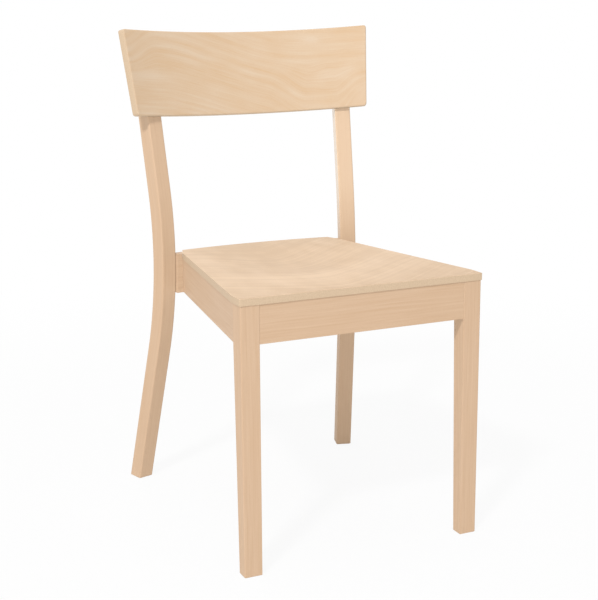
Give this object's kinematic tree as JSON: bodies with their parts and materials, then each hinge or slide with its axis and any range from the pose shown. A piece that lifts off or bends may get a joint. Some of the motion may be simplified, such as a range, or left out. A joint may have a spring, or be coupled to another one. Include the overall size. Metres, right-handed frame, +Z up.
{
  "type": "choir chair",
  "caption": "Beech side chair with a shallow moulded seat, tapered front legs and bent rear posts that carry a curved backrest.",
  "frame": {"origin": "on the floor, under the middle of the chair's bounding box", "axes": "+Z up; +Y towards the chair's back, so the sitter faces -Y; +X towards the right side as seen by a viewer who faces the chair"},
  "size_m": [0.4944, 0.5418, 0.8567],
  "materials": {
    "beech_frame": "satin clear varnish on solid beech",
    "beech_seat": "satin clear varnish on beech veneer",
    "beech_backrest": "satin clear varnish on bent beech plywood",
    "beech_raw": "bare beech",
    "zinc_steel": "zinc-plated wood screws"
  },
  "bodies": {
    "root": {"front_leg_right": "beech_frame", "front_leg_left": "beech_frame", "rear_post_right": "beech_frame", "rear_post_left": "beech_frame", "front_apron": "beech_frame", "side_rail_right": "beech_frame", "side_rail_left": "beech_frame", "rear_rail": "beech_frame", "seat_panel": "beech_seat", "backrest_panel": "beech_backrest", "front_corner_block_right": "beech_raw", "front_corner_block_left": "beech_raw", "rear_corner_block_right": "beech_raw", "rear_corner_block_left": "beech_raw", "apron_dowel_lower_right": "beech_raw", "apron_dowel_lower_left": "beech_raw", "apron_dowel_upper_right": "beech_raw", "apron_dowel_upper_left": "beech_raw", "leg_dowel_lower_right": "beech_raw", "leg_dowel_lower_left": "beech_raw", "leg_dowel_upper_right": "beech_raw", "leg_dowel_upper_left": "beech_raw", "side_rail_dowel_lower_right": "beech_raw", "side_rail_dowel_lower_left": "beech_raw", "side_rail_dowel_upper_right": "beech_raw", "side_rail_dowel_upper_left": "beech_raw", "post_dowel_lower_right": "beech_raw", "post_dowel_lower_left": "beech_raw", "post_dowel_upper_right": "beech_raw", "post_dowel_upper_left": "beech_raw", "screw_plug_lower_right": "beech_raw", "screw_plug_lower_left": "beech_raw", "screw_plug_upper_right": "beech_raw", "screw_plug_upper_left": "beech_raw", "front_block_screw_1_right": "zinc_steel", "front_block_screw_1_left": "zinc_steel", "front_block_screw_2_right": "zinc_steel", "front_block_screw_2_left": "zinc_steel", "rear_block_screw_1_right": "zinc_steel", "rear_block_screw_1_left": "zinc_steel", "rear_block_screw_2_right": "zinc_steel", "rear_block_screw_2_left": "zinc_steel", "seat_screw_front_right": "zinc_steel", "seat_screw_front_left": "zinc_steel", "seat_screw_rear_right": "zinc_steel", "seat_screw_rear_left": "zinc_steel", "backrest_screw_lower_right": "zinc_steel", "backrest_screw_lower_left": "zinc_steel", "backrest_screw_upper_right": "zinc_steel", "backrest_screw_upper_left": "zinc_steel"}
  },
  "joints": []
}
